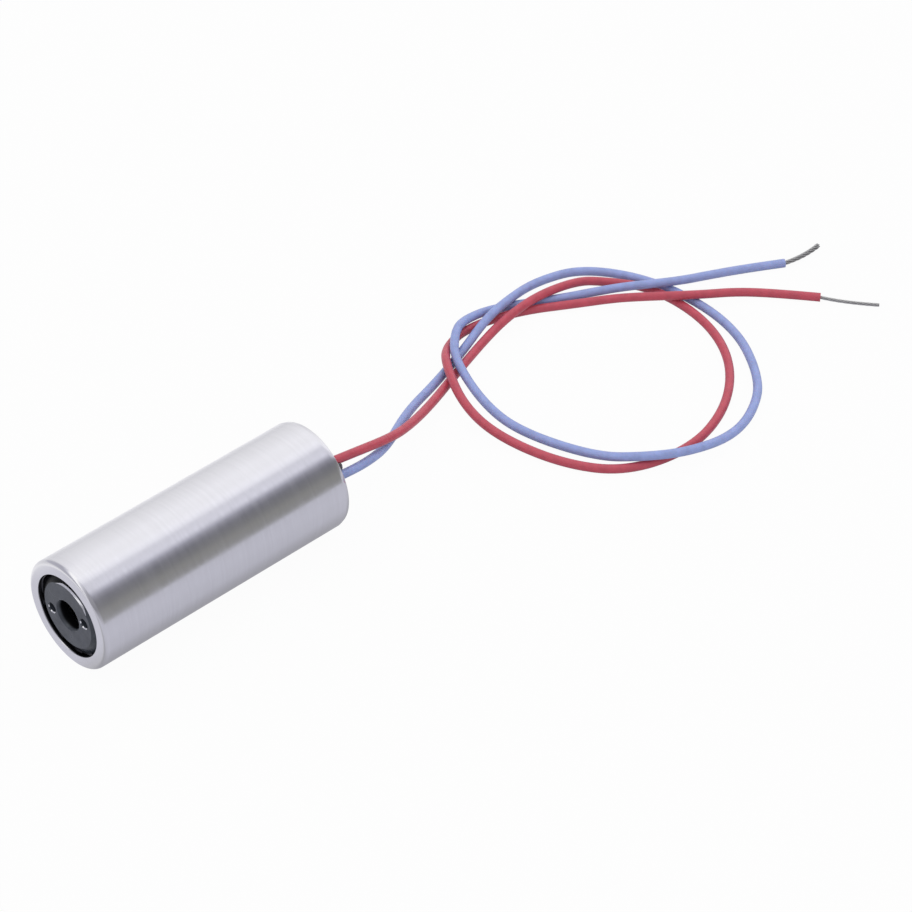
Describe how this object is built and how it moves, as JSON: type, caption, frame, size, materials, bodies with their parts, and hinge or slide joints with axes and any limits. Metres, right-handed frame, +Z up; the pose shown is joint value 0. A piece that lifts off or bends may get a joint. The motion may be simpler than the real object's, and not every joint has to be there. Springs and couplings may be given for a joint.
{
  "type": "laser diode module",
  "caption": "Turned metal tube with a screw-in focusing lens barrel, a laser diode and driver board inside, and a knotted pair of thin wires at its rear",
  "frame": {"origin": "on the surface that the module lies on, under the middle of the tube with its rear resin mound", "axes": "the tube's axis runs along Y and the beam leaves towards -Y; +Z is up; the wires lie towards +Y"},
  "size_m": [0.0229, 0.0695, 0.008],
  "materials": {
    "turned_metal": "fine turned rings",
    "black_metal": "black anodised, satin",
    "lens_glass": "polished",
    "brass": "machined",
    "spring_steel": "drawn wire",
    "gold_plate": "gold plated",
    "nickel_plate": "nickel plated",
    "seal_glass": "fused",
    "pale_ceramic": "ceramic, matte",
    "semiconductor": "polished crystal",
    "board_laminate": "solder mask, satin",
    "black_plastic": "moulded, matte",
    "tan_ceramic": "ceramic, satin",
    "tinned_metal": "tinned, satin",
    "black_resin": "cast resin, glossy",
    "red_insulation": "satin",
    "blue_insulation": "satin"
  },
  "bodies": {
    "module": {"housing": "turned_metal", "diode_stem": "gold_plate", "diode_cap": "nickel_plate", "diode_window": "lens_glass", "lead_glass_seals": "seal_glass", "diode_lead_1": "gold_plate", "diode_lead_2": "gold_plate", "diode_lead_3": "gold_plate", "chip_submount": "pale_ceramic", "laser_chip": "semiconductor", "monitor_photodiode": "semiconductor", "bond_wires": "gold_plate", "driver_board": "board_laminate", "driver_transistor": "black_plastic", "transistor_legs": "tinned_metal", "chip_resistors": "black_plastic", "filter_capacitor": "tan_ceramic", "lead_solder_joints": "tinned_metal", "wire_solder_joints": "tinned_metal", "conductor_tails": "tinned_metal", "rear_potting": "black_resin", "red_wire": "red_insulation", "blue_wire": "blue_insulation", "red_wire_tip": "tinned_metal", "blue_wire_tip": "tinned_metal"},
    "spring_follower": {"focus_spring": "spring_steel"},
    "lens_cell": {"lens_barrel": "black_metal", "collimating_lens": "lens_glass", "lens_retaining_ring": "brass"}
  },
  "joints": [
    {"name": "focus_travel", "type": "slide", "parent": "module", "child": "spring_follower", "axis": [0, 1, 0], "range_m": [-0.0005, 0.0005], "deforming": ["focus_spring"]},
    {"name": "focus_turn", "type": "hinge", "parent": "spring_follower", "child": "lens_cell", "pos_m": [0, -0.01155, 0.004], "axis": [0, 1, 0], "range_deg": [-360, 360]}
  ],
  "couplings": [
    {"joint": "focus_turn", "follows": "focus_travel", "rad_per_m": 12566}
  ]
}
